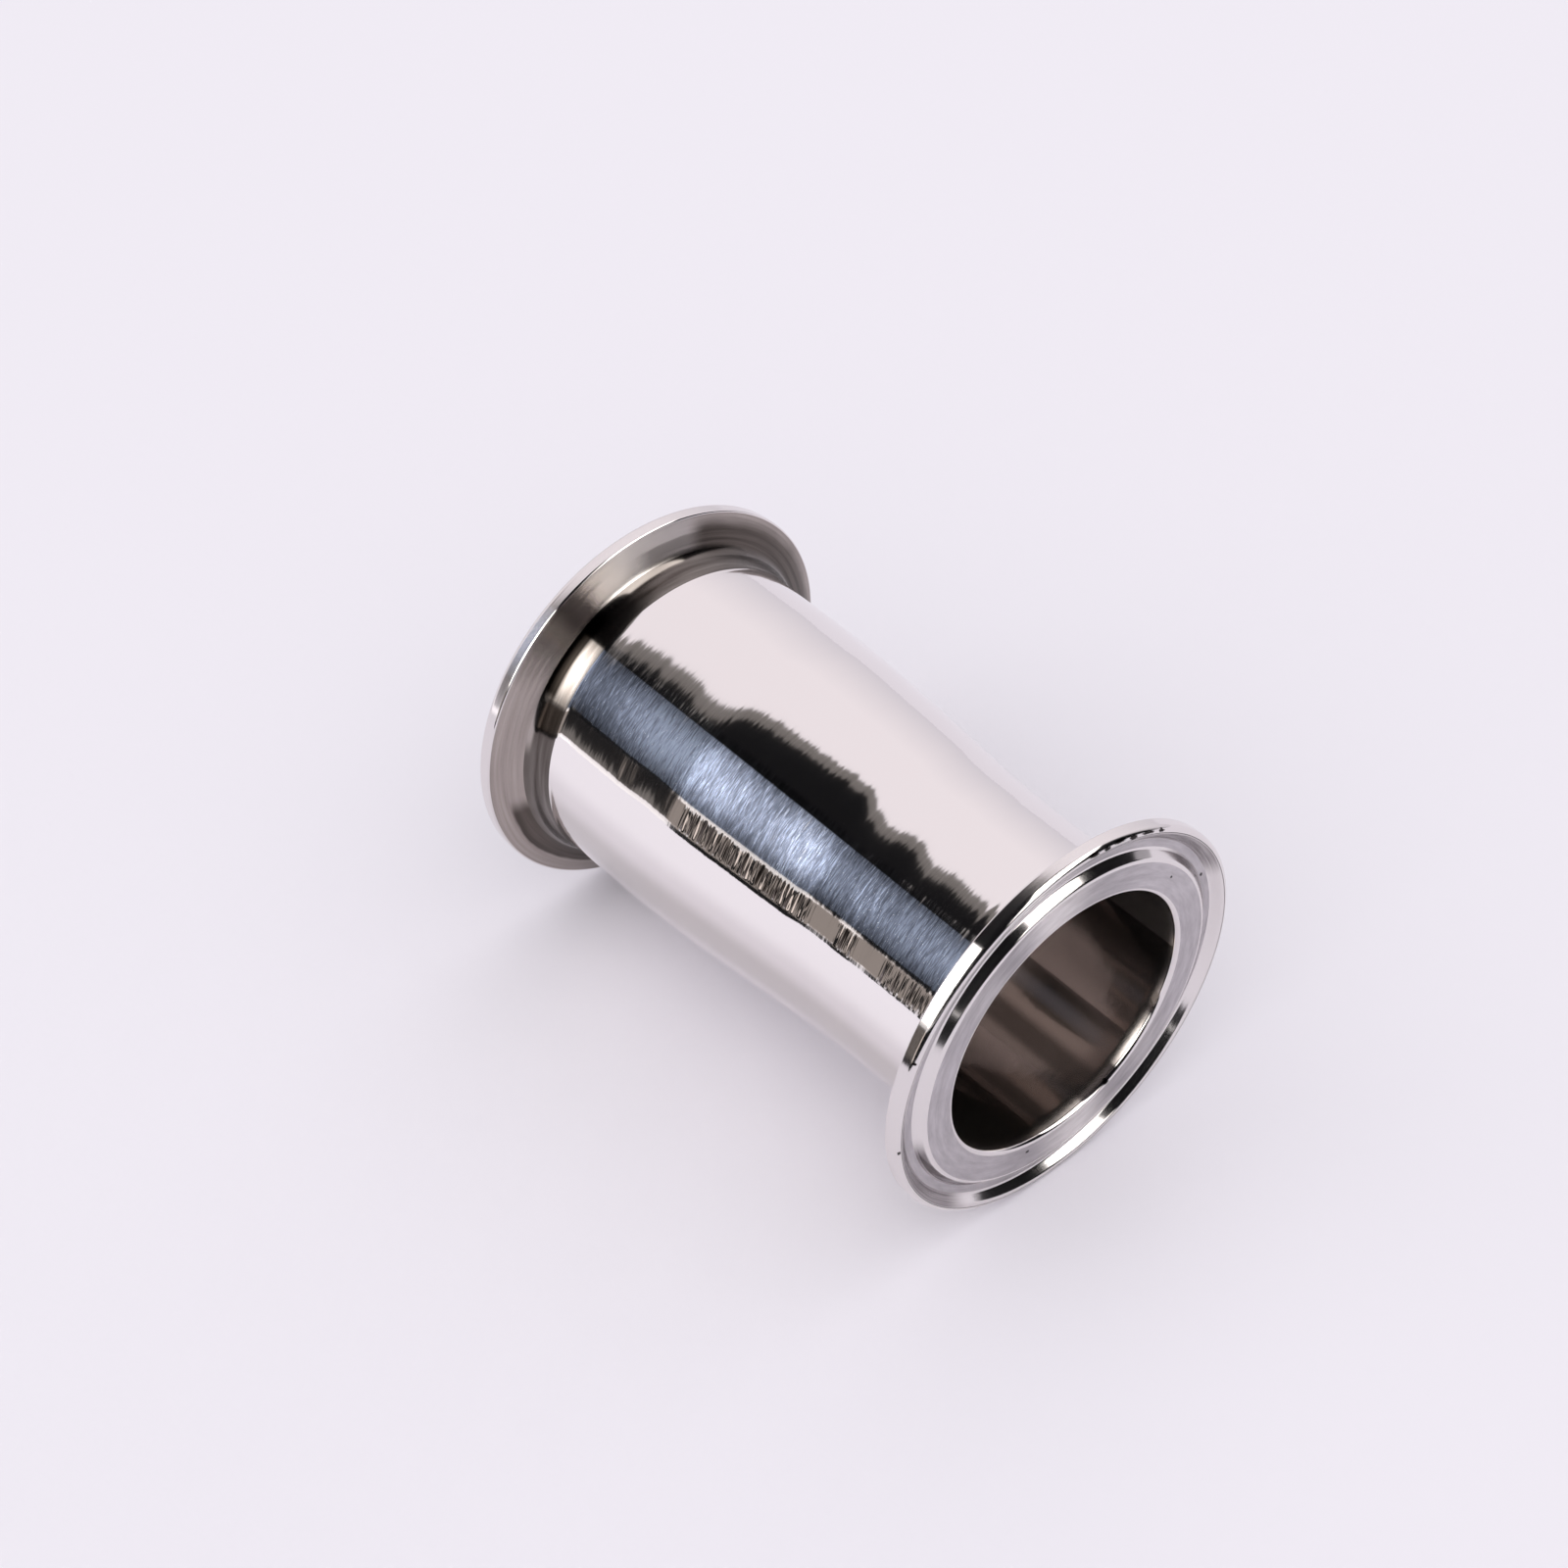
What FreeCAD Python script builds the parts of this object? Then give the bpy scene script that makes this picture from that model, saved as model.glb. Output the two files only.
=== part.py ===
import FreeCAD, Part
import os
import Sketcher

# Concentric clamp reducer: one stainless steel piece that joins a 51 mm tube to a 45 mm tube.
# It stands on its large end. +Z is the axis of the bore and the origin is the centre of the large end face.
# All lengths are in millimetres and all angles in degrees.

DRIVING_SIZES = [
    ("overall_length", 92.0, "from one gasket face to the other"),
    ("large_tube_diameter", 51.0, "outside of the tube at the large end"),
    ("small_tube_diameter", 45.0, "outside of the tube at the small end"),
    ("tube_wall", 1.0, "wall of the tube, measured across the axis"),
    ("large_straight_length", 30.0, "large end face to the start of the cone"),
    ("small_straight_length", 25.4, "small end face to the end of the cone"),
    ("shoulder_length", 9.0, "how far each rounded shoulder runs along the cone"),
    ("ferrule_diameter", 64.0, "outside of both clamp ferrules"),
    ("rim_thickness", 2.4, "cylinder at the edge of a ferrule"),
    ("back_angle", 20.0, "slope of a ferrule's back, which the clamp pulls on"),
    ("hub_length", 8.7, "end face to where a ferrule's tapered hub meets the tube"),
    ("hub_angle", 12.0, "slope of the hub to the axis"),
    ("neck_radius", 2.2, "hollow corner between a ferrule's back and its hub"),
    ("lip_chamfer", 0.5, "how far the front corner of the rim is broken"),
    ("mouth_chamfer", 0.4, "how far the corner of the bore and the face is broken"),
    ("gasket_diameter", 57.5, "centre line of the gasket groove"),
    ("gasket_width", 4.0, "gasket groove across, at the face"),
    ("gasket_floor_width", 1.7, "gasket groove across, on its floor"),
    ("gasket_depth", 1.3, "face to the floor of the groove"),
]

# Sizes that follow from the driving ones. Each row is an alias and its formula over the other aliases.
FOLLOWING_SIZES = [
    ("ferrule_radius", "ferrule_diameter / 2"),
    ("large_radius", "large_tube_diameter / 2"),
    ("small_radius", "small_tube_diameter / 2"),
    ("large_bore_radius", "large_radius - tube_wall"),
    ("small_bore_radius", "small_radius - tube_wall"),
    ("cone_end_height", "overall_length - small_straight_length"),
    ("cone_length", "cone_end_height - large_straight_length"),
    ("cone_angle", "atan((large_radius - small_radius) / cone_length) / 1 deg"),
    ("shoulder_radius", "shoulder_length / tan(cone_angle * 1 deg / 2)"),
    ("back_slope", "tan(back_angle * 1 deg)"),
    ("hub_slope", "tan(hub_angle * 1 deg)"),
    ("back_and_hub", "1 - back_slope * hub_slope"),
    ("lip_radius", "ferrule_radius - lip_chamfer"),
    ("large_mouth_radius", "large_bore_radius + mouth_chamfer"),
    ("small_mouth_radius", "small_bore_radius + mouth_chamfer"),
    ("small_lip_height", "overall_length - lip_chamfer"),
    ("small_mouth_height", "overall_length - mouth_chamfer"),
    ("large_back_width", "ferrule_radius - large_radius - hub_length * hub_slope"),
    ("small_back_width", "ferrule_radius - small_radius - hub_length * hub_slope"),
    ("large_neck_height", "(rim_thickness + large_back_width * back_slope) / back_and_hub"),
    ("small_neck_depth", "(rim_thickness + small_back_width * back_slope) / back_and_hub"),
    ("large_neck_corner", "large_radius + (hub_length - large_neck_height) * hub_slope"),
    ("small_neck_corner", "small_radius + (hub_length - small_neck_depth) * hub_slope"),
    ("small_neck_height", "overall_length - small_neck_depth"),
    ("small_hub_height", "overall_length - hub_length"),
    ("small_rim_height", "overall_length - rim_thickness"),
    ("groove_radius", "gasket_diameter / 2"),
    ("inner_edge_radius", "groove_radius - gasket_width / 2"),
    ("inner_floor_radius", "groove_radius - gasket_floor_width / 2"),
    ("outer_floor_radius", "groove_radius + gasket_floor_width / 2"),
    ("outer_edge_radius", "groove_radius + gasket_width / 2"),
    ("small_floor_height", "overall_length - gasket_depth"),
]

doc = FreeCAD.newDocument("clamp_reducer")
sheet = doc.addObject("Spreadsheet::Sheet", "sizes")


def fill_sheet():
    """One row for each size: its name, its value or formula, and what it measures."""
    row = 1
    for name, value, meaning in DRIVING_SIZES:
        sheet.set("A%d" % row, name)
        sheet.set("B%d" % row, str(value))
        sheet.set("C%d" % row, meaning)
        sheet.setAlias("B%d" % row, name)
        row += 1
    for name, formula in FOLLOWING_SIZES:
        sheet.set("A%d" % row, name)
        sheet.set("B%d" % row, "=" + formula)
        sheet.setAlias("B%d" % row, name)
        row += 1
    doc.recompute()


def size(name):
    """The present value of one size, as a plain number."""
    return float(getattr(sheet, name))


def new_sketch(body, name):
    """A sketch on the body's XZ plane: its x is the distance from the axis, its y is the height."""
    sketch = body.newObject("Sketcher::SketchObject", name)
    planes = {plane.Role: plane for plane in body.Origin.OriginFeatures}
    sketch.AttachmentSupport = [(planes["XZ_Plane"], "")]
    sketch.MapMode = "FlatFace"
    return sketch


def bind(sketch, constraint, name, expression):
    """Add one named dimension to a sketch and tie it to the sheet."""
    sketch.addConstraint(constraint)
    index = sketch.ConstraintCount - 1
    sketch.renameConstraint(index, name)
    sketch.setExpression("Constraints." + name, expression)


def distance_from_origin(sketch, kind, line, name, alias):
    """Hold the start of a line at a distance from the origin, along x or along y."""
    origin = (-1, 1)
    start = (line, 1)
    bind(sketch, Sketcher.Constraint(kind, *origin, *start, size(alias)), name, "sizes." + alias)


def half_section(body, name, corners):
    """A closed half section whose corners all take their place from the sheet.

    Each corner is a name, the alias of its radius, the alias of its height and the alias of its rounding.
    None leaves the corner on the axis, on the large end face, or sharp.
    """
    sketch = new_sketch(body, name)
    points = []
    for _, radius, height, _ in corners:
        across = size(radius) if radius else 0.0
        up = size(height) if height else 0.0
        points.append(FreeCAD.Vector(across, up, 0))
    count = len(points)
    for i in range(count):
        sketch.addGeometry(Part.LineSegment(points[i], points[(i + 1) % count]), False)
    for i in range(count):
        sketch.addConstraint(Sketcher.Constraint("Coincident", i, 2, (i + 1) % count, 1))
    for i, (corner, radius, height, _) in enumerate(corners):
        if radius:
            distance_from_origin(sketch, "DistanceX", i, corner + "_radius", radius)
        else:
            sketch.addConstraint(Sketcher.Constraint("PointOnObject", i, 1, -2))
        if height:
            distance_from_origin(sketch, "DistanceY", i, corner + "_height", height)
        else:
            sketch.addConstraint(Sketcher.Constraint("PointOnObject", i, 1, -1))
    for i, (corner, _, _, rounding) in enumerate(corners):
        if rounding:
            round_corner(sketch, i, corner, rounding)
    sketch.solve()
    return sketch


def round_corner(sketch, line, corner, rounding):
    """Round the corner between a line of a half section and the line before it."""
    before = line - 1
    on_before = sketch.Geometry[before].StartPoint
    on_line = sketch.Geometry[line].EndPoint
    sketch.fillet(before, line, on_before, on_line, size(rounding), True, True)
    arcs = [i for i, item in enumerate(sketch.Geometry) if isinstance(item, Part.ArcOfCircle)]
    radius = Sketcher.Constraint("Radius", arcs[-1], size(rounding))
    bind(sketch, radius, corner + "_rounding", "sizes." + rounding)


def turn(body, kind, name, sketch):
    """Revolve a sketch once round the Z axis, to add material or to take it away."""
    feature = body.newObject(kind, name)
    feature.Profile = sketch
    feature.ReferenceAxis = (sketch, ["V_Axis"])
    feature.Angle = 360.0
    doc.recompute()
    return feature


def cut(body, name, sketch):
    """Turn a sketch out of the body, and stop if that takes nothing away."""
    volume = body.Tip.Shape.Volume
    turn(body, "PartDesign::Groove", name, sketch)
    if body.Tip.Shape.Volume >= volume:
        raise RuntimeError(name + " cuts nothing")


def clamp_reducer():
    """The whole reducer: a turned outside, a bore through it and a gasket groove in each end face."""
    body = doc.addObject("PartDesign::Body", "clamp_reducer")
    body.Label = "clamp_reducer"
    doc.recompute()

    # Outside: a flat-faced ferrule with a tapered hub at each end, two straight tubes and the cone between them.
    outside = half_section(body, "outside_section", [
        ("axis_low", None, None, None),
        ("large_face", "lip_radius", None, None),
        ("large_lip", "ferrule_radius", "lip_chamfer", None),
        ("large_rim", "ferrule_radius", "rim_thickness", None),
        ("large_neck", "large_neck_corner", "large_neck_height", "neck_radius"),
        ("large_hub", "large_radius", "hub_length", None),
        ("large_shoulder", "large_radius", "large_straight_length", "shoulder_radius"),
        ("small_shoulder", "small_radius", "cone_end_height", "shoulder_radius"),
        ("small_hub", "small_radius", "small_hub_height", None),
        ("small_neck", "small_neck_corner", "small_neck_height", "neck_radius"),
        ("small_rim", "ferrule_radius", "small_rim_height", None),
        ("small_lip", "ferrule_radius", "small_lip_height", None),
        ("small_face", "lip_radius", "overall_length", None),
        ("axis_high", None, "overall_length", None),
    ])
    turn(body, "PartDesign::Revolution", "outside", outside)

    # Bore: one tube wall inside the outside, open at both ends.
    cut(body, "bore", half_section(body, "bore_section", [
        ("axis_low", None, None, None),
        ("large_mouth", "large_mouth_radius", None, None),
        ("large_bore", "large_bore_radius", "mouth_chamfer", None),
        ("large_shoulder", "large_bore_radius", "large_straight_length", None),
        ("small_shoulder", "small_bore_radius", "cone_end_height", None),
        ("small_bore", "small_bore_radius", "small_mouth_height", None),
        ("small_mouth", "small_mouth_radius", "overall_length", None),
        ("axis_high", None, "overall_length", None),
    ]))

    # Gasket grooves: a ring in each end face, with sloping walls and a flat floor for the bead of the gasket.
    grooves = [
        ("large", None, "gasket_depth"),
        ("small", "overall_length", "small_floor_height"),
    ]
    for end, face, floor in grooves:
        cut(body, end + "_gasket_groove", half_section(body, end + "_gasket_section", [
            ("inner_edge", "inner_edge_radius", face, None),
            ("inner_floor", "inner_floor_radius", floor, None),
            ("outer_floor", "outer_floor_radius", floor, None),
            ("outer_edge", "outer_edge_radius", face, None),
        ]))
    return body


def check_document():
    """Stop if any object failed to recompute."""
    for thing in doc.Objects:
        if "Invalid" in thing.State or "Error" in thing.State:
            raise RuntimeError("%s failed: %s" % (thing.Label, thing.State))


def export(body):
    """Write one sub-part, named by its label, after checking that it is a sound solid."""
    shape = body.Shape
    if shape.isNull() or not shape.isValid():
        raise RuntimeError(body.Label + " is not a valid shape")
    if len(shape.Solids) != 1:
        raise RuntimeError(body.Label + " is not one solid")
    shape.exportStep(os.path.join("parts", body.Label + ".step"))
    box = shape.optimalBoundingBox(False, False)
    print("%s: %.1f mm3, %.2f x %.2f x %.2f mm, from z = %.2f mm" % (
        body.Label, shape.Volume, box.XLength, box.YLength, box.ZLength, box.ZMin))


fill_sheet()
reducer = clamp_reducer()
doc.recompute()
check_document()
os.makedirs("parts", exist_ok=True)
export(reducer)
print("cone slope %.2f degrees, shoulder radius %.1f mm" % (size("cone_angle"), size("shoulder_radius")))
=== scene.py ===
import bpy
import math
from mathutils import Matrix, Vector


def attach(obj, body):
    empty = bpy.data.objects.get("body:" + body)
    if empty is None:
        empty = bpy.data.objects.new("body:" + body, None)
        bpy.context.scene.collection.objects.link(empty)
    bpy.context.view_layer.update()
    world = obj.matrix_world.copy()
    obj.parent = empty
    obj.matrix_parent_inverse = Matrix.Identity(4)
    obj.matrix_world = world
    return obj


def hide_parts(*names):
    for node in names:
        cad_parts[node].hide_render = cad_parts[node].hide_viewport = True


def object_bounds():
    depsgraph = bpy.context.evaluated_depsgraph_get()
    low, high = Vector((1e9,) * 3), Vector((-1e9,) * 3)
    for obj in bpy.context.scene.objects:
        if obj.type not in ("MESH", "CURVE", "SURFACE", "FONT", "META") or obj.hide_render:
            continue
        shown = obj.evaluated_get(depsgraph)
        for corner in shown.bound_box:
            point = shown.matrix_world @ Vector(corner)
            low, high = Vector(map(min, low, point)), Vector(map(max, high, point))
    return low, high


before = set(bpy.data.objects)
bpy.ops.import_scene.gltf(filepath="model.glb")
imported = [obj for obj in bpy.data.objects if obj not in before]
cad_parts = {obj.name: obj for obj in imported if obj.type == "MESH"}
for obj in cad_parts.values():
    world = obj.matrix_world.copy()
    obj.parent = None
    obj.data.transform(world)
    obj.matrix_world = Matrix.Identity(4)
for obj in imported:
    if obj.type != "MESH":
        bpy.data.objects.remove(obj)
cad_low, cad_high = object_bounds()

# The reducer itself: one piece of stainless steel, a tube that narrows between two clamp ferrules.
# The real one is cut from tube, turned at both ends and then polished while it spins, so its form is one
# section carried once round the axis. All sizes are millimetres in the frame's own places.
MM = 0.001
LENGTH = (cad_high.z - cad_low.z) / MM
RIM = (cad_high.x - cad_low.x) / 2 / MM
LARGE_TUBE = 25.5
SMALL_TUBE = 22.5
WALL = 1.0
CONE_START = 30.0
CONE_END = LENGTH - 25.4
SHOULDER_RADIUS = 220.0
RIM_THICKNESS = 2.4
BACK_SLOPE = math.tan(math.radians(20))
HUB_LENGTH = 8.7
HUB_SLOPE = math.tan(math.radians(12))
HUB_RADIUS = 6.0
NECK_RADIUS = 2.2
LIP_RADIUS = 0.85
RIM_BACK_RADIUS = 0.3
MOUTH_RADIUS = 0.7
GROOVE_MIDDLE = 28.75
GROOVE_HALF_WIDTH = 2.0
GROOVE_FLOOR_HALF_WIDTH = 0.85
GROOVE_DEPTH = 1.3
GROOVE_FLOOR_RADIUS = 0.5
GROOVE_EDGE_RADIUS = 0.8
DEGREES_PER_STEP = 10
FEWEST_STEPS = 6
GUARD = 0.06


def neck_corner(tube):
    """Where a ferrule's sloping back meets its tapered hub: the radius, and the height above its face."""
    back_width = RIM - tube - HUB_LENGTH * HUB_SLOPE
    height = (RIM_THICKNESS + back_width * BACK_SLOPE) / (1 - BACK_SLOPE * HUB_SLOPE)
    return tube + (HUB_LENGTH - height) * HUB_SLOPE, height


def end_corners(face, inward, tube):
    """Corners of one ferrule from the bore to the tube: radius, height and rounding."""
    neck_across, neck_height = neck_corner(tube)
    groove_floor = face + inward * GROOVE_DEPTH
    return [
        (tube - WALL, face, MOUTH_RADIUS),
        (GROOVE_MIDDLE - GROOVE_HALF_WIDTH, face, GROOVE_EDGE_RADIUS),
        (GROOVE_MIDDLE - GROOVE_FLOOR_HALF_WIDTH, groove_floor, GROOVE_FLOOR_RADIUS),
        (GROOVE_MIDDLE + GROOVE_FLOOR_HALF_WIDTH, groove_floor, GROOVE_FLOOR_RADIUS),
        (GROOVE_MIDDLE + GROOVE_HALF_WIDTH, face, GROOVE_EDGE_RADIUS),
        (RIM, face, LIP_RADIUS),
        (RIM, face + inward * RIM_THICKNESS, RIM_BACK_RADIUS),
        (neck_across, face + inward * neck_height, NECK_RADIUS),
        (tube, face + inward * HUB_LENGTH, HUB_RADIUS),
    ]


def rounded_outline(corners):
    """A closed outline with an arc at each corner and a guard point on the straight at both sides of it."""
    outline = []
    for i, (across, up, rounding) in enumerate(corners):
        corner = Vector((across, up))
        back = (Vector(corners[i - 1][:2]) - corner).normalized()
        ahead = (Vector(corners[(i + 1) % len(corners)][:2]) - corner).normalized()
        half_angle = back.angle(ahead) / 2
        reach = rounding / math.tan(half_angle)
        centre = corner + (back + ahead).normalized() * (rounding / math.sin(half_angle))
        spoke = corner + back * reach - centre
        turn = spoke.angle_signed(corner + ahead * reach - centre)
        steps = max(FEWEST_STEPS, math.ceil(abs(math.degrees(turn)) / DEGREES_PER_STEP))
        outline.append(corner + back * (reach + GUARD))
        for step in range(steps + 1):
            outline.append(centre + Matrix.Rotation(-turn * step / steps, 2) @ spoke)
        outline.append(corner + ahead * (reach + GUARD))
    return outline


corners = end_corners(LENGTH, -1, SMALL_TUBE)
corners += [(SMALL_TUBE, CONE_END, SHOULDER_RADIUS), (LARGE_TUBE, CONE_START, SHOULDER_RADIUS)]
corners += reversed(end_corners(0.0, 1, LARGE_TUBE))
corners += [
    (LARGE_TUBE - WALL, CONE_START, SHOULDER_RADIUS),
    (SMALL_TUBE - WALL, CONE_END, SHOULDER_RADIUS),
]
outline = rounded_outline(corners)

# The tube's outside, polished stainless steel: almost a mirror, with slow waves along it, fine marks round it,
# and ridges from a chattering wheel, which are drawn only where the photo shows them. The real marks go down
# to 0.02 mm, too fine to show, so the marks here are drawn 0.15 mm to 1.4 mm wide.
POLISHED_ROUGHNESS = 0.045
WAVE_RANGE = 3.0
# The waves were set so that the edge of the dark reflection lies where the photo has it.
POLISHING_WAVES = [
    (0.0, 0.4), (10.0, 0.6), (13.0, 1.5), (20.0, 1.8), (25.0, 0.8), (31.0, -1.5), (35.5, 0.0), (45.0, 0.3),
    (53.0, 1.1), (57.5, 0.9), (61.0, -1.9), (65.0, -1.3), (69.0, 0.4), (71.0, -0.6), (76.0, 0.6), (82.0, 0.1),
    (92.0, 0.0),
]
# Sectors are degrees round the axis from +X. Heights are millimetres from the large end. The brushed sector
# isn't known to be a strip of the steel. It is where the photo shows the key softbox, and its waves and haze
# imitate that reflection: they were set from levels measured along it, and paint what the lights should give.
KEY_REFLECTION_SECTOR = (-60.0, -34.5)
BRUSHED_WAVES = [
    (0.0, 0.0), (30.0, 0.0), (33.0, 0.9), (36.0, 1.2), (42.0, 0.5), (48.0, -0.1), (60.0, -1.2), (74.0, -2.1),
    (92.0, -2.6),
]
KEY_REFLECTION_PAINT = [
    (0.0, 0.6), (9.0, 0.5), (12.0, 0.43), (18.0, 0.62), (24.0, 0.86), (31.0, 0.97), (36.0, 0.66),
    (42.0, 0.54), (48.0, 0.44), (54.0, 0.6), (57.0, 0.6), (61.0, 0.68), (69.0, 0.63), (76.0, 0.73),
    (92.0, 0.75),
]
CHATTER_SECTOR = (-33.5, -25.0)
CHATTER_HEIGHTS = [(35.5, 61.0, 0.8), (65.5, 69.5, 0.6), (75.0, 84.0, 0.6)]
CHATTER_LEAN = 9.0
EVEN_SECTOR = (-34.5, -25.0)
EVEN_HEIGHTS = (6.0, 25.0)
EVEN_LEAN = 1.75
NEAR_HUB_LEAN = 12.0
AXIS = (0.0, 0.0, 1.0)


def linear(hex_colour):
    """An sRGB hex value as linear colour with alpha."""
    channels = []
    for start in (1, 3, 5):
        value = int(hex_colour[start:start + 2], 16) / 255
        channels.append(value / 12.92 if value <= 0.04045 else ((value + 0.055) / 1.055) ** 2.4)
    return (*channels, 1.0)


def add(tree, kind, inputs=(), **settings):
    """Add a node with its settings, and link or set its inputs: a list goes by number, a dict by name."""
    node = tree.nodes.new(kind)
    for name, value in settings.items():
        setattr(node, name, value)
    for name, value in (inputs.items() if isinstance(inputs, dict) else enumerate(inputs)):
        if isinstance(value, bpy.types.NodeSocket):
            tree.links.new(value, node.inputs[name])
        else:
            node.inputs[name].default_value = value
    return node


def total(tree, *amounts):
    """Several amounts together: leans that act at once, or places side by side."""
    result, *others = amounts
    for amount in others:
        result = add(tree, "ShaderNodeMath", [result, amount], operation="ADD").outputs[0]
    return result


def overlap(tree, *amounts):
    """Where several places overlap, or how much of an amount there is in a place."""
    result, *others = amounts
    for amount in others:
        result = add(tree, "ShaderNodeMath", [result, amount], operation="MULTIPLY").outputs[0]
    return result


def between(tree, value, low, high, softness):
    """1 where a value lies between two limits and 0 outside, with soft edges. None leaves a side open."""
    sides = []
    for limit, below, above in ((low, 0.0, 1.0), (high, 1.0, 0.0)):
        if limit is not None:
            sides.append(add(tree, "ShaderNodeMapRange", {
                "Value": value, "From Min": limit - softness, "From Max": limit + softness,
                "To Min": below, "To Max": above,
            }, interpolation_type="SMOOTHSTEP").outputs[0])
    return overlap(tree, *sides)


def patched(tree, colour, *patches):
    """A colour with others laid over it in turn, each shown where its place is 1."""
    for place, other in patches:
        # The Mix node's two colours are its inputs 6 and 7, and the mixed colour is its output 2.
        colour = add(tree, "ShaderNodeMix", {0: place, 6: colour, 7: other}, data_type="RGBA").outputs[2]
    return colour


def degrees_round(tree, rise, run):
    """The angle in degrees of a direction whose two parts are given."""
    angle = add(tree, "ShaderNodeMath", [rise, run], operation="ARCTAN2").outputs[0]
    return add(tree, "ShaderNodeMath", [angle], operation="DEGREES").outputs[0]


def begin_steel(name):
    """Start a steel worked while it turned: its node tree, and where each point lies on the section."""
    material = bpy.data.materials.new(name)
    material.use_nodes = True
    tree = material.node_tree
    tree.nodes.clear()
    place = add(tree, "ShaderNodeMapping", {
        "Vector": add(tree, "ShaderNodeTexCoord").outputs["Object"], "Scale": (1 / MM, 1 / MM, 1 / MM),
    }).outputs[0]
    x, y, height = add(tree, "ShaderNodeSeparateXYZ", [place]).outputs
    flat = add(tree, "ShaderNodeCombineXYZ", [x, y]).outputs[0]
    radius = add(tree, "ShaderNodeVectorMath", [flat], operation="LENGTH").outputs["Value"]
    return material, tree, {
        "x": x, "y": y, "flat": flat, "radius": radius, "height": height, "angle": degrees_round(tree, y, x),
    }


def ring_noise(tree, where, width, length, detail=2.0, swing=1.0, middle=0.0):
    """Uneven marks of a width and length drawn out round the axis: an amount that swings about a middle."""
    across = total(tree, where["height"], where["radius"])
    grain = add(tree, "ShaderNodeCombineXYZ", [
        add(tree, "ShaderNodeMath", [where["x"], length], operation="DIVIDE").outputs[0],
        add(tree, "ShaderNodeMath", [where["y"], length], operation="DIVIDE").outputs[0],
        add(tree, "ShaderNodeMath", [across, width], operation="DIVIDE").outputs[0],
    ]).outputs[0]
    noise = add(tree, "ShaderNodeTexNoise", {
        "Vector": grain, "Scale": 1.0, "Detail": detail, "Roughness": 0.6,
    })
    return add(tree, "ShaderNodeMapRange", {
        "Value": noise.outputs["Fac"], "From Min": 0.3, "From Max": 0.7,
        "To Min": middle - swing, "To Max": middle + swing,
    }, clamp=False).outputs[0]


def over_height(tree, where, waves):
    """An amount that follows a smooth curve through pairs of height and amount, from end to end."""
    share = add(tree, "ShaderNodeMath", [where["height"], LENGTH], operation="DIVIDE").outputs[0]
    curve = add(tree, "ShaderNodeFloatCurve", {"Value": share})
    line = curve.mapping.curves[0].points
    line[0].location = (0.0, 0.5 + waves[0][1] / (2 * WAVE_RANGE))
    line[1].location = (1.0, 0.5 + waves[-1][1] / (2 * WAVE_RANGE))
    for height, amount in waves[1:-1]:
        line.new(height / LENGTH, 0.5 + amount / (2 * WAVE_RANGE))
    curve.mapping.update()
    return total(tree, overlap(tree, curve.outputs[0], 2 * WAVE_RANGE), -WAVE_RANGE)


def finish_steel(material, tree, where, colour, roughness, lean_degrees, metallic=1.0):
    """Lean the surface along its section, and give it the soft streak of a metal rubbed round its axis."""
    facing = add(tree, "ShaderNodeNewGeometry").outputs["Normal"]
    around = add(tree, "ShaderNodeVectorMath", [AXIS, where["flat"]], operation="CROSS_PRODUCT").outputs[0]
    around = add(tree, "ShaderNodeVectorMath", [around], operation="NORMALIZE").outputs[0]
    along = add(tree, "ShaderNodeVectorMath", [facing, around], operation="CROSS_PRODUCT").outputs[0]
    radians = add(tree, "ShaderNodeMath", [lean_degrees], operation="RADIANS").outputs[0]
    lean = add(tree, "ShaderNodeVectorMath", {0: along, "Scale": radians}, operation="SCALE").outputs[0]
    leaning = add(tree, "ShaderNodeVectorMath", [facing, lean], operation="ADD").outputs[0]
    normal = add(tree, "ShaderNodeVectorMath", [leaning], operation="NORMALIZE").outputs[0]
    shader = add(tree, "ShaderNodeBsdfPrincipled", {
        "Base Color": colour, "Metallic": metallic, "Roughness": roughness,
        "Anisotropic": 1.0, "Anisotropic Rotation": 0.25, "Normal": normal, "Tangent": around,
    })
    add(tree, "ShaderNodeOutputMaterial", {"Surface": shader.outputs[0]})


tube_steel, tree, where = begin_steel("polished_tube_steel")
waves = over_height(tree, where, POLISHING_WAVES)
fine = ring_noise(tree, where, 0.35, 9.0, swing=0.55)
broad = ring_noise(tree, where, 1.4, 16.0, swing=0.35)
ridges = ring_noise(tree, where, 0.36, 6.0, detail=1.0)
chatter_rows = total(tree, *[between(tree, where["height"], *row) for row in CHATTER_HEIGHTS])
chatter_place = overlap(tree, chatter_rows, between(tree, where["angle"], *CHATTER_SECTOR, 0.7))
chatter = overlap(tree, chatter_place, ridges, CHATTER_LEAN)
even_place = overlap(tree, between(tree, where["angle"], *EVEN_SECTOR, 0.7), between(
    tree, where["height"], *EVEN_HEIGHTS, 2.0))
to_even = add(tree, "ShaderNodeMath", [EVEN_LEAN, waves], operation="SUBTRACT").outputs[0]
evened = overlap(tree, even_place, to_even)
key_reflection_place = between(tree, where["angle"], *KEY_REFLECTION_SECTOR, 1.0)
brushed = overlap(tree, key_reflection_place, total(
    tree, over_height(tree, where, BRUSHED_WAVES), ring_noise(tree, where, 0.25, 2.5)))
near_hub = between(tree, where["height"], LENGTH - HUB_LENGTH, None, 0.6)
tube_lean = total(
    tree, waves, fine, broad, chatter, evened, brushed, overlap(tree, near_hub, NEAR_HUB_LEAN))
# Painted reflection: in the key softbox's sector the tube's colour is a painted reflection of that softbox,
# set along the height and streaked with painted glints.
marks = total(
    tree, ring_noise(tree, where, 0.15, 1.8, detail=3.0), ring_noise(tree, where, 0.8, 6.0, swing=0.35))
painted_streak_glints = add(tree, "ShaderNodeMath", [2.0, marks], operation="POWER").outputs[0]
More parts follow.
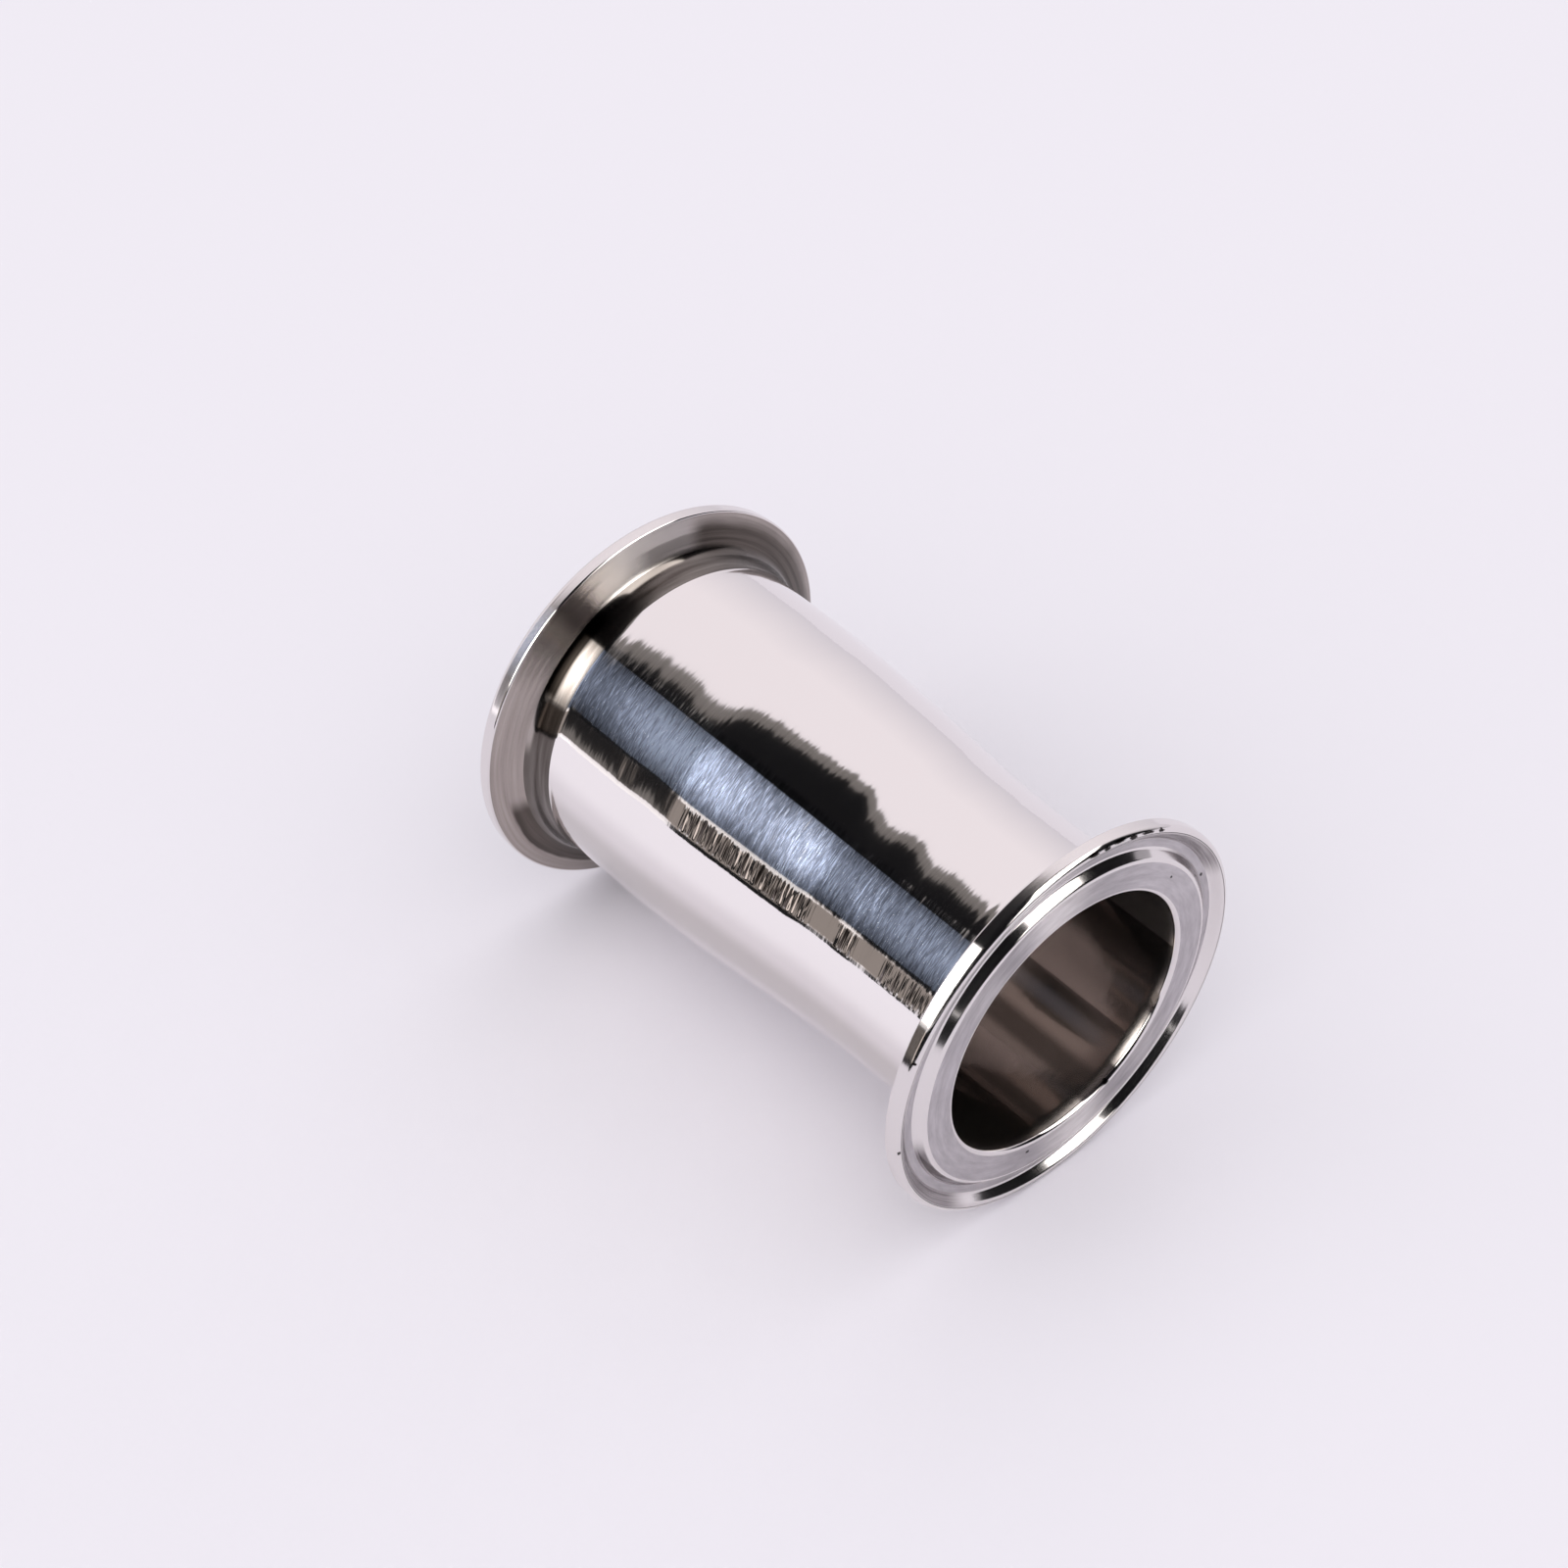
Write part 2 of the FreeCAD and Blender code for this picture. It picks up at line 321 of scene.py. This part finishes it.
painted_key_level = overlap(tree, painted_streak_glints, over_height(tree, where, KEY_REFLECTION_PAINT))
painted_key_reflection = add(tree, "ShaderNodeVectorMath", {
    0: linear("#FDFAFD")[:3], "Scale": painted_key_level,
}, operation="SCALE").outputs[0]
painted_key_reflection = add(tree, "ShaderNodeVectorMath", [painted_key_reflection, (1.0, 1.0, 1.0)], operation="MINIMUM").outputs[0]
# Painted reflection: the lower side is painted lighter in one sector, where it mirrors the lit paper, and
# painted darker in the next, where it mirrors the reducer's shadow on the paper.
painted_paper_reflection = overlap(
    tree, between(tree, where["angle"], -24.5, None, 0.7), between(tree, where["angle"], None, -9.0, 5.0))
painted_shadow_reflection = between(tree, where["angle"], 1.0, 20.0, 5.0)
# Painted shade: the valleys between the chatter ridges are painted dark.
painted_valley_shade = overlap(tree, chatter_place, between(tree, ridges, None, -0.25, 0.2))
tube_colour = patched(
    tree, linear("#E9E4E3"), (painted_paper_reflection, linear("#FAF6F4")), (painted_shadow_reflection, linear("#CFCAC8")),
    (key_reflection_place, painted_key_reflection), (painted_valley_shade, linear("#57504C")))
finish_steel(tube_steel, tree, where, tube_colour, POLISHED_ROUGHNESS, tube_lean)

# Turned steel of the rims, lips and gasket grooves: bright, with rings from the cutting tool, and painted
# shade on parts of the near groove's walls. The near end has had knocks that left small dark pits and nicks,
# each given as a radius, an angle, a width and a length.
TURNED_ROUGHNESS = 0.10
NEAR_RIM_ROUGHNESS = 0.11
NEAR_RIM_LEAN = 6.0
NEAR_FACE_DEPTH = 1.5
OUTER_WALL = (29.35, 31.0)
INNER_WALL = (27.05, 28.2)
NICKS = [
    (28.6, -158.0, 0.25, 0.35), (24.8, -138.0, 0.20, 0.26), (31.8, -24.5, 0.16, 0.24),
    (31.5, 5.0, 0.20, 0.35), (23.4, 75.0, 0.20, 0.36), (21.8, 116.0, 0.28, 0.50),
    (31.5, -94.0, 0.28, 0.90), (31.4, -98.5, 0.30, 0.60), (31.6, -103.0, 0.22, 1.10),
    (31.4, -108.0, 0.30, 0.80), (31.5, -113.5, 0.22, 1.20), (31.5, -119.0, 0.26, 0.60),
]


def in_sectors(tree, where, softness, *sectors):
    """1 in the given sectors round the axis, each from one angle to another, and 0 outside them."""
    return total(tree, *[between(tree, where["angle"], start, end, softness) for start, end in sectors])


def nicked(tree, where, colour):
    """A colour with the nicks of the near end in it, each a small dark spot with a ragged edge."""
    ragged = ring_noise(tree, where, 0.2, 0.25, swing=0.35)
    place = add(tree, "ShaderNodeCombineXYZ", [where["radius"], where["angle"]]).outputs[0]
    dark = 0.0
    for radius, angle, width, length in NICKS:
        nick = (radius, angle, 0.0)
        stretch = (1 / width, math.radians(radius) / length, 0.0)
        apart = add(tree, "ShaderNodeVectorMath", [place, nick], operation="SUBTRACT").outputs[0]
        spot = add(tree, "ShaderNodeVectorMath", [apart, stretch], operation="MULTIPLY").outputs[0]
        away = add(tree, "ShaderNodeVectorMath", [spot], operation="LENGTH").outputs["Value"]
        inside = between(tree, total(tree, away, ragged), None, 1.0, 0.2)
        dark = add(tree, "ShaderNodeMath", [dark, inside], operation="MAXIMUM").outputs[0]
    near_end = between(tree, where["height"], LENGTH - NEAR_FACE_DEPTH, None, 0.2)
    return patched(tree, colour, (overlap(tree, dark, near_end), linear("#2E2A29")))


turned_steel, tree, where = begin_steel("turned_ferrule_steel")
near_rim = overlap(
    tree, between(tree, where["height"], LENGTH / 2, None, 1.0),
    between(tree, where["radius"], RIM - 0.1, None, 0.05))
rings = ring_noise(tree, where, 0.3, 60.0, swing=0.8)
turned_lean = total(tree, rings, overlap(tree, near_rim, NEAR_RIM_LEAN))
turned_roughness = total(
    tree, overlap(tree, near_rim, NEAR_RIM_ROUGHNESS - TURNED_ROUGHNESS), TURNED_ROUGHNESS)
outer_wall = overlap(tree, between(tree, where["radius"], *OUTER_WALL, 0.12), in_sectors(
    tree, where, 6.0, (-157.0, -88.0), (-8.0, 50.0)))
inner_wall = overlap(tree, between(tree, where["radius"], *INNER_WALL, 0.12), in_sectors(
    tree, where, 6.0, (None, -135.0), (13.0, 60.0)))
# Painted shade: parts of the near groove's walls are painted darker.
painted_groove_shade = overlap(
    tree, total(tree, outer_wall, inner_wall), ring_noise(tree, where, 0.3, 12.0, swing=0.25, middle=0.8))
turned_colour = patched(tree, linear("#E3DEDD"), (painted_groove_shade, linear("#7C7577")))
finish_steel(turned_steel, tree, where, nicked(tree, where, turned_colour), turned_roughness, turned_lean)

# Ground steel of the flat land round each mouth: it was faced on abrasive, so it is matt and grey, with short
# marks round it and soft blotches.
LAND_ROUGHNESS = 0.36
land_steel, tree, where = begin_steel("ground_land_steel")
rings = ring_noise(tree, where, 0.25, 7.0, swing=4.0)
blotches = ring_noise(tree, where, 0.9, 5.0, detail=4.0, swing=0.5, middle=0.5)
ground = patched(tree, linear("#B4AFB2"), (blotches, linear("#D0CBCE")))
finish_steel(land_steel, tree, where, nicked(tree, where, ground), LAND_ROUGHNESS, rings)

# Satin steel of the ferrules' backs: duller and browner than the tube, as the polishing wheel hardly reached
# it.
# Its colour is lighter in one sector and darker and browner in the inner part of others, and over most of the
# back outside one wide sector.
SATIN_ROUGHNESS = 0.22
LIGHT_OUTER_SECTOR = (-106.0, 110.0)
back_steel, tree, where = begin_steel("satin_back_steel")
rings = ring_noise(tree, where, 0.35, 25.0, swing=2.5)
wavy_radius = total(tree, where["radius"], ring_noise(tree, where, 3.0, 9.0, swing=0.25))
half_dark_sector = overlap(tree, in_sectors(tree, where, 4.0, (-106.0, -86.0)), 0.6)
dark_inner_part = overlap(tree, between(tree, wavy_radius, None, 29.45, 0.25), total(
    tree, in_sectors(tree, where, 4.0, (10.0, 110.0)), half_dark_sector))
light_outer_place = in_sectors(tree, where, 4.0, LIGHT_OUTER_SECTOR)
dark_outer_place = add(tree, "ShaderNodeMath", [1.0, light_outer_place], operation="SUBTRACT").outputs[0]
darker_back = total(tree, dark_inner_part, overlap(tree, between(tree, wavy_radius, None, 30.7, 1.4), dark_outer_place))
lighter_sector = in_sectors(tree, where, 6.0, (-105.0, -68.0))
streaks = ring_noise(tree, where, 0.4, 22.0, swing=0.35, middle=0.5)
dark_back_colour = patched(tree, linear("#453F3B"), (streaks, linear("#6A625D")))
satin = patched(
    tree, linear("#9A918C"), (streaks, linear("#BDB4AF")), (lighter_sector, linear("#CFC8C4")),
    (darker_back, dark_back_colour))
finish_steel(back_steel, tree, where, satin, SATIN_ROUGHNESS, rings)

# Dull steel of the hollow neck behind each ferrule: brown from the heat of the weld and never polished, with
# one lighter patch beside one that is almost black.
NECK_ROUGHNESS = 0.14
neck_steel, tree, where = begin_steel("dull_neck_steel")
rings = ring_noise(tree, where, 0.5, 25.0, swing=1.5)
tint = ring_noise(tree, where, 0.9, 16.0, swing=0.5, middle=0.5)
lighter_neck_patch = overlap(
    tree, between(tree, where["angle"], -31.0, -14.0, 4.0), between(tree, where["radius"], 26.4, None, 0.15))
black_neck_patch = overlap(
    tree, between(tree, where["angle"], -66.0, -33.0, 3.0), between(tree, where["radius"], 26.05, None, 0.07))
dull = patched(
    tree, linear("#4E4743"), (tint, linear("#7E7874")), (lighter_neck_patch, linear("#ACA49F")),
    (black_neck_patch, linear("#14110F")))
finish_steel(neck_steel, tree, where, dull, NECK_ROUGHNESS, rings)

# Drawn steel of the bore: a soft mirror that shows both openings as long bands, tarnished in two sectors.
# Its near mouth flares into a slight bell, which is rougher than the rest.
BELL_DEPTH = 3.2
BELL_EDGE = 0.6
BELL_LEAN = -14.0
BELL_ROUGHNESS = 0.11
BORE_METALLIC = 0.96
bore_steel, tree, where = begin_steel("drawn_bore_steel")
bell = add(tree, "ShaderNodeMapRange", {
    "Value": where["height"], "From Min": LENGTH - BELL_DEPTH, "From Max": LENGTH - BELL_EDGE,
}, interpolation_type="SMOOTHSTEP").outputs[0]
bore_lean = total(tree, ring_noise(tree, where, 0.6, 30.0, swing=0.4), overlap(tree, bell, BELL_LEAN))
bore_roughness = total(tree, overlap(tree, bell, BELL_ROUGHNESS), POLISHED_ROUGHNESS)
tarnish = in_sectors(tree, where, 12.0, (40.0, 88.0), (160.0, None))
bore_colour = patched(tree, linear("#BFB7B2"), (tarnish, linear("#6C6662")))
finish_steel(bore_steel, tree, where, bore_colour, bore_roughness, bore_lean, BORE_METALLIC)

# Turning the reducer: the section goes once round the axis, as on a lathe, and each facet gets the finish of
# its place on the section. The mesh stands for the CAD solid, and rounds corners that the solid has plain.
LATHE_RADIUS = 28.0
FACETS_ROUND = 450
FACES_ENDWAYS = 0.999
RIM_BACK_EDGE = 0.1
FILLET_WIDTH = 0.45
FAR_HUB_POLISHED = 0.1
NEAR_HUB_POLISHED = 2.4
finishes = [tube_steel, turned_steel, land_steel, back_steel, neck_steel, bore_steel]
TUBE, TURNED, LAND, BACK, NECK, BORE = range(6)


def finish_of(face):
    """Which finish a facet has, from its place on the section."""
    radius = math.hypot(face.center.x, face.center.y) / MM
    height = face.center.z / MM
    outward = face.normal.x * face.center.x + face.normal.y * face.center.y
    from_end = min(height, LENGTH - height)
    near = height > LENGTH / 2
    neck_across, _ = neck_corner(SMALL_TUBE if near else LARGE_TUBE)
    if abs(face.normal.z) > FACES_ENDWAYS:
        return LAND
    if outward < 0 and radius < LARGE_TUBE and from_end > MOUTH_RADIUS:
        return BORE
    if from_end > HUB_LENGTH - (NEAR_HUB_POLISHED if near else FAR_HUB_POLISHED):
        return TUBE
    if from_end > RIM_THICKNESS and radius < neck_across + FILLET_WIDTH:
        return NECK
    if from_end > RIM_THICKNESS + RIM_BACK_EDGE:
        return BACK
    return TURNED


lathe = bpy.data.node_groups.new("turn_section_round_axis", "GeometryNodeTree")
lathe.interface.new_socket("Geometry", in_out="INPUT", socket_type="NodeSocketGeometry")
sockets = {}
for label, kind in (("Lathe Radius", "Float"), ("Facets Round", "Int"), ("Finish", "Material")):
    sockets[label] = lathe.interface.new_socket(label, in_out="INPUT", socket_type="NodeSocket" + kind)
lathe.interface.new_socket("Geometry", in_out="OUTPUT", socket_type="NodeSocketGeometry")
given = add(lathe, "NodeGroupInput").outputs
turned = add(lathe, "GeometryNodeCurveToMesh", {
    "Curve": add(lathe, "GeometryNodeCurvePrimitiveCircle", {
        "Resolution": given["Facets Round"], "Radius": given["Lathe Radius"],
    }).outputs["Curve"],
    "Profile Curve": add(lathe, "GeometryNodeMeshToCurve", {"Mesh": given["Geometry"]}).outputs["Curve"],
})
smooth = add(lathe, "GeometryNodeSetShadeSmooth", {"Geometry": turned.outputs["Mesh"]})
realized = add(lathe, "GeometryNodeRealizeInstances", [smooth.outputs[0]])
dressed = add(lathe, "GeometryNodeSetMaterial", {
    "Geometry": realized.outputs[0], "Material": given["Finish"],
})
add(lathe, "NodeGroupOutput", [dressed.outputs[0]])

section = bpy.data.meshes.new("reducer_section")
count = len(outline)
section.from_pydata(
    [((point.x - LATHE_RADIUS) * MM, -point.y * MM, 0) for point in outline],
    [(i, (i + 1) % count) for i in range(count)], [])
reducer = bpy.data.objects.new("turned_reducer", section)
bpy.context.scene.collection.objects.link(reducer)
modifier = reducer.modifiers.new("lathe", "NODES")
modifier.node_group = lathe
modifier[sockets["Lathe Radius"].identifier] = LATHE_RADIUS * MM
modifier[sockets["Facets Round"].identifier] = FACETS_ROUND
modifier[sockets["Finish"].identifier] = finishes[TUBE]
bpy.context.view_layer.update()
body = bpy.data.meshes.new_from_object(reducer.evaluated_get(bpy.context.evaluated_depsgraph_get()))
reducer.modifiers.clear()
reducer.data = body
body.materials.clear()
for finish in finishes:
    body.materials.append(finish)
for face in body.polygons:
    face.material_index = finish_of(face)
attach(reducer, "root")
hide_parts("clamp_reducer")

# The floor: a sheet of matt white paper that the reducer lies on, touching both rims.
# It is seen from its upper side only. In the frame's axes, up in the photograph is -Y.
PAPER_WHITE = "#ECE9F0"
FLOOR_HEIGHT = RIM * MM
FLOOR_NEAR = 0.285
FLOOR_FAR = 2.0
floor_mesh = bpy.data.meshes.new("paper_floor")
floor_mesh.from_pydata([
    (-FLOOR_FAR, FLOOR_HEIGHT, -FLOOR_FAR), (FLOOR_NEAR, FLOOR_HEIGHT, -FLOOR_FAR),
    (FLOOR_NEAR, FLOOR_HEIGHT, FLOOR_FAR), (-FLOOR_FAR, FLOOR_HEIGHT, FLOOR_FAR),
], [], [(0, 1, 2, 3)])
floor = bpy.data.objects.new("paper_floor", floor_mesh)
bpy.context.scene.collection.objects.link(floor)
paper = bpy.data.materials.new("matt_paper")
paper.use_nodes = True
tree = paper.node_tree
tree.nodes.clear()
sheet = add(tree, "ShaderNodeBsdfDiffuse", {"Color": linear(PAPER_WHITE)})
unseen = add(tree, "ShaderNodeBsdfTransparent")
behind = add(tree, "ShaderNodeNewGeometry").outputs["Backfacing"]
one_sided = add(tree, "ShaderNodeMixShader", [behind, sheet.outputs[0], unseen.outputs[0]])
add(tree, "ShaderNodeOutputMaterial", {"Surface": one_sided.outputs[0]})
floor_mesh.materials.append(paper)

# The studio: a pale backdrop on one side, darkness behind the camera, and two softboxes.
# The steel is a mirror, so these shapes, given as directions round the reducer, are most of what it shows.
# Turn angles are degrees round the reducer's axis, and side angles are degrees from +Z towards +X.
ROOM_LIGHT = (0.009, 0.009, 0.010)


def glow(tree, colour, *amounts):
    """The colour of one light, as strong as all its amounts together make it."""
    strength = overlap(tree, *amounts)
    return add(tree, "ShaderNodeVectorMath", {0: colour, "Scale": strength}, operation="SCALE").outputs[0]


world = bpy.data.worlds.new("studio")
bpy.context.scene.world = world
world.use_nodes = True
tree = world.node_tree
tree.nodes.clear()
direction = add(tree, "ShaderNodeTexCoord").outputs["Generated"]
x, y, z = add(tree, "ShaderNodeSeparateXYZ", [direction]).outputs
up = overlap(tree, y, -1.0)
turn_angle = degrees_round(tree, y, x)
side_angle = degrees_round(tree, x, z)
lights = []

# The backdrop, a pale sheet, brighter towards the top, with a grey half shadow along its edge. Forward on the
# left its edge stands further back and it is half as bright.
DARK_SIDE = (0.5728, -0.3665, 0.7332)
EDGE_SHIFT = 0.2
EDGE_DIMMING = -0.5
across = add(tree, "ShaderNodeVectorMath", [direction, DARK_SIDE], operation="DOT_PRODUCT").outputs["Value"]
forward_left = overlap(tree, between(tree, x, None, -0.3, 0.1), between(tree, z, 0.2, None, 0.12))
across_edge = total(tree, across, overlap(tree, forward_left, EDGE_SHIFT))
sheet_edge = add(tree, "ShaderNodeMapRange", {
    "Value": across_edge, "From Min": -0.012, "From Max": 0.004, "To Min": 1.0, "To Max": 0.0,
}).outputs[0]
backdrop = overlap(tree, sheet_edge, total(tree, overlap(tree, forward_left, EDGE_DIMMING), 1.0))
beside = add(tree, "ShaderNodeMath", [1.0, backdrop], operation="SUBTRACT").outputs[0]
elsewhere = add(tree, "ShaderNodeMath", [1.0, forward_left], operation="SUBTRACT").outputs[0]
half_shadow = add(tree, "ShaderNodeMapRange", {
    "Value": across_edge, "From Min": 0.06, "From Max": 0.085, "To Min": 1.0, "To Max": 0.0,
}, interpolation_type="SMOOTHSTEP").outputs[0]
towards_top = add(tree, "ShaderNodeMapRange", {"Value": up, "From Min": 0.0, "From Max": 0.6}).outputs[0]
pale = patched(tree, (0.76, 0.73, 0.79, 1.0), (towards_top, (1.0, 0.945, 0.985, 1.0)))
lights.append(glow(tree, pale, backdrop))
lights.append(glow(tree, (0.19, 0.175, 0.165), half_shadow, beside, elsewhere))

# The key softbox, low on the +X side. Its long edges are planes through the reducer's axis, it is brightest
# along its middle, and its light goes from warm to blue and falls away towards the large end.
KEY_EDGES = (-58.0, -14.0)
KEY_MIDDLE = -37.0
KEY_HALF_WIDTH = 22.0
KEY_EDGE_SHARE = 0.25
KEY_BLUE_PART = (-0.75, -0.25)
KEY_HOT_PART = (-0.30, 0.02)
KEY_WARM_PART = (0.0, 0.38)
off_middle = overlap(tree, total(tree, turn_angle, -KEY_MIDDLE), 1 / KEY_HALF_WIDTH)
squared = add(tree, "ShaderNodeMath", [off_middle, 2.0], operation="POWER").outputs[0]
inside = add(tree, "ShaderNodeMath", [1.0, squared], operation="SUBTRACT").outputs[0]
inside = add(tree, "ShaderNodeMath", [inside, 0.0], operation="MAXIMUM").outputs[0]
bulge = add(tree, "ShaderNodeMath", [inside, 1.5], operation="POWER").outputs[0]
key_width = overlap(tree, between(tree, turn_angle, *KEY_EDGES, 0.6), total(
    tree, overlap(tree, bulge, 1 - KEY_EDGE_SHARE), KEY_EDGE_SHARE))
key_fade = total(
    tree,
    add(tree, "ShaderNodeMapRange", {
        "Value": z, "From Min": -0.478, "From Max": -0.468, "To Min": 0.36, "To Max": 0.85,
    }).outputs[0],
    add(tree, "ShaderNodeMapRange", {
        "Value": z, "From Min": -0.385, "From Max": -0.35, "To Min": 0.0, "To Max": 0.3,
    }).outputs[0])
key_blue = overlap(tree, key_fade, between(tree, z, *KEY_BLUE_PART, 0.02))
key_warm = total(
    tree, overlap(tree, between(tree, z, *KEY_HOT_PART, 0.02), 16.0),
    overlap(tree, between(tree, z, *KEY_WARM_PART, 0.02), 6.0))
lights.append(glow(tree, (0.80, 0.93, 1.22), key_width, key_blue))
lights.append(glow(tree, (1.0, 0.98, 0.94), key_width, key_warm))

# Four smaller things: the thin bright lower edge of the key softbox, the top softbox above and towards the
# small end, a brown stand low on the +X side towards the large end, and the table's pale edge past the paper.
lights.append(glow(
    tree, (0.8, 0.78, 0.78), between(tree, turn_angle, -14.0, -11.5, 0.3),
    between(tree, z, -0.48, None, 0.01)))
lights.append(glow(
    tree, (4.0, 3.9, 3.8), between(tree, turn_angle, -135.5, -94.0, 1.5), between(tree, z, 0.1, None, 0.02),
    between(tree, up, 0.3, None, 0.02)))
stand = total(
    tree, overlap(tree, between(tree, side_angle, 90.0, 102.5, 0.5), 3.0),
    between(tree, side_angle, 112.0, 120.6, 0.4))
lights.append(glow(tree, (0.32, 0.28, 0.255), stand, between(tree, up, -0.095, 0.2, 0.01)))
lights.append(glow(
    tree, (0.85, 0.82, 0.85), between(tree, side_angle, 119.0, 179.0, 0.5),
    between(tree, up, -0.2, -0.084, 0.005)))
seen = ROOM_LIGHT
for light in lights:
    seen = add(tree, "ShaderNodeVectorMath", [seen, light], operation="ADD").outputs[0]
studio = add(tree, "ShaderNodeBackground", {"Color": seen})

# What lights the matt paper: an even fill, and soft lights from the left, the right and the front, each a
# direction and a strength. The left and right ones throw the two faint shadows.
EVEN_FILL = 0.1
SOFT_FALLOFF = 3.0
SOFT_LIGHTS = [((-0.75, -0.65, -0.1), 1.267), ((0.75, -0.65, 0.0), 1.643), ((0.2, -0.6, 0.77), 0.713)]
fill_strength = EVEN_FILL
for source, strength in SOFT_LIGHTS:
    towards = add(tree, "ShaderNodeVectorMath", [direction, source], operation="DOT_PRODUCT").outputs["Value"]
    towards = add(tree, "ShaderNodeMath", [towards, 0.0], operation="MAXIMUM").outputs[0]
    spread = add(tree, "ShaderNodeMath", [towards, SOFT_FALLOFF], operation="POWER").outputs[0]
    fill_strength = total(tree, fill_strength, overlap(tree, spread, strength))
fill = add(tree, "ShaderNodeBackground", {"Color": glow(tree, (1.0, 0.985, 1.0), fill_strength)})

# The camera itself sees plain paper white all round, the paper is lit by the fill, and the steel shows the
# studio. The three kinds of ray are only told apart when the world is found by the rays themselves.
plain = add(tree, "ShaderNodeBackground", {"Color": linear(PAPER_WHITE)})
ray = add(tree, "ShaderNodeLightPath").outputs
mixed = add(tree, "ShaderNodeMixShader", [ray["Is Diffuse Ray"], studio.outputs[0], fill.outputs[0]])
mixed = add(tree, "ShaderNodeMixShader", [ray["Is Camera Ray"], mixed.outputs[0], plain.outputs[0]])
add(tree, "ShaderNodeOutputWorld", {"Surface": mixed.outputs[0]})
world.cycles.sampling_method = "NONE"

# The camera: at the photograph's place, beyond the small end and to its right, looking down on the reducer
# as it lies on its side. Its lens and its places, in millimetres of the frame, were fitted to the rims.
CAMERA_PLACE = Vector((215.18, -316.92, 279.49)) * MM
CAMERA_TARGET = Vector((-1.93, 0.0, 30.31)) * MM
PHOTOGRAPH_UP = Vector((0.0, -1.0, 0.0))
LENS = 70.62
SENSOR = 36.0
NEAREST_SEEN = 0.01
camera_data = bpy.data.cameras.new("camera")
camera_data.lens = LENS
camera_data.sensor_width = SENSOR
camera_data.clip_start = NEAREST_SEEN
camera = bpy.data.objects.new("camera", camera_data)
bpy.context.scene.collection.objects.link(camera)
forward = (CAMERA_TARGET - CAMERA_PLACE).normalized()
right = forward.cross(PHOTOGRAPH_UP).normalized()
aim = Matrix((right, right.cross(forward), -forward)).transposed().to_4x4()
camera.matrix_world = Matrix.Translation(CAMERA_PLACE) @ aim
bpy.context.scene.camera = camera
bpy.context.scene.view_settings.view_transform = "Standard"
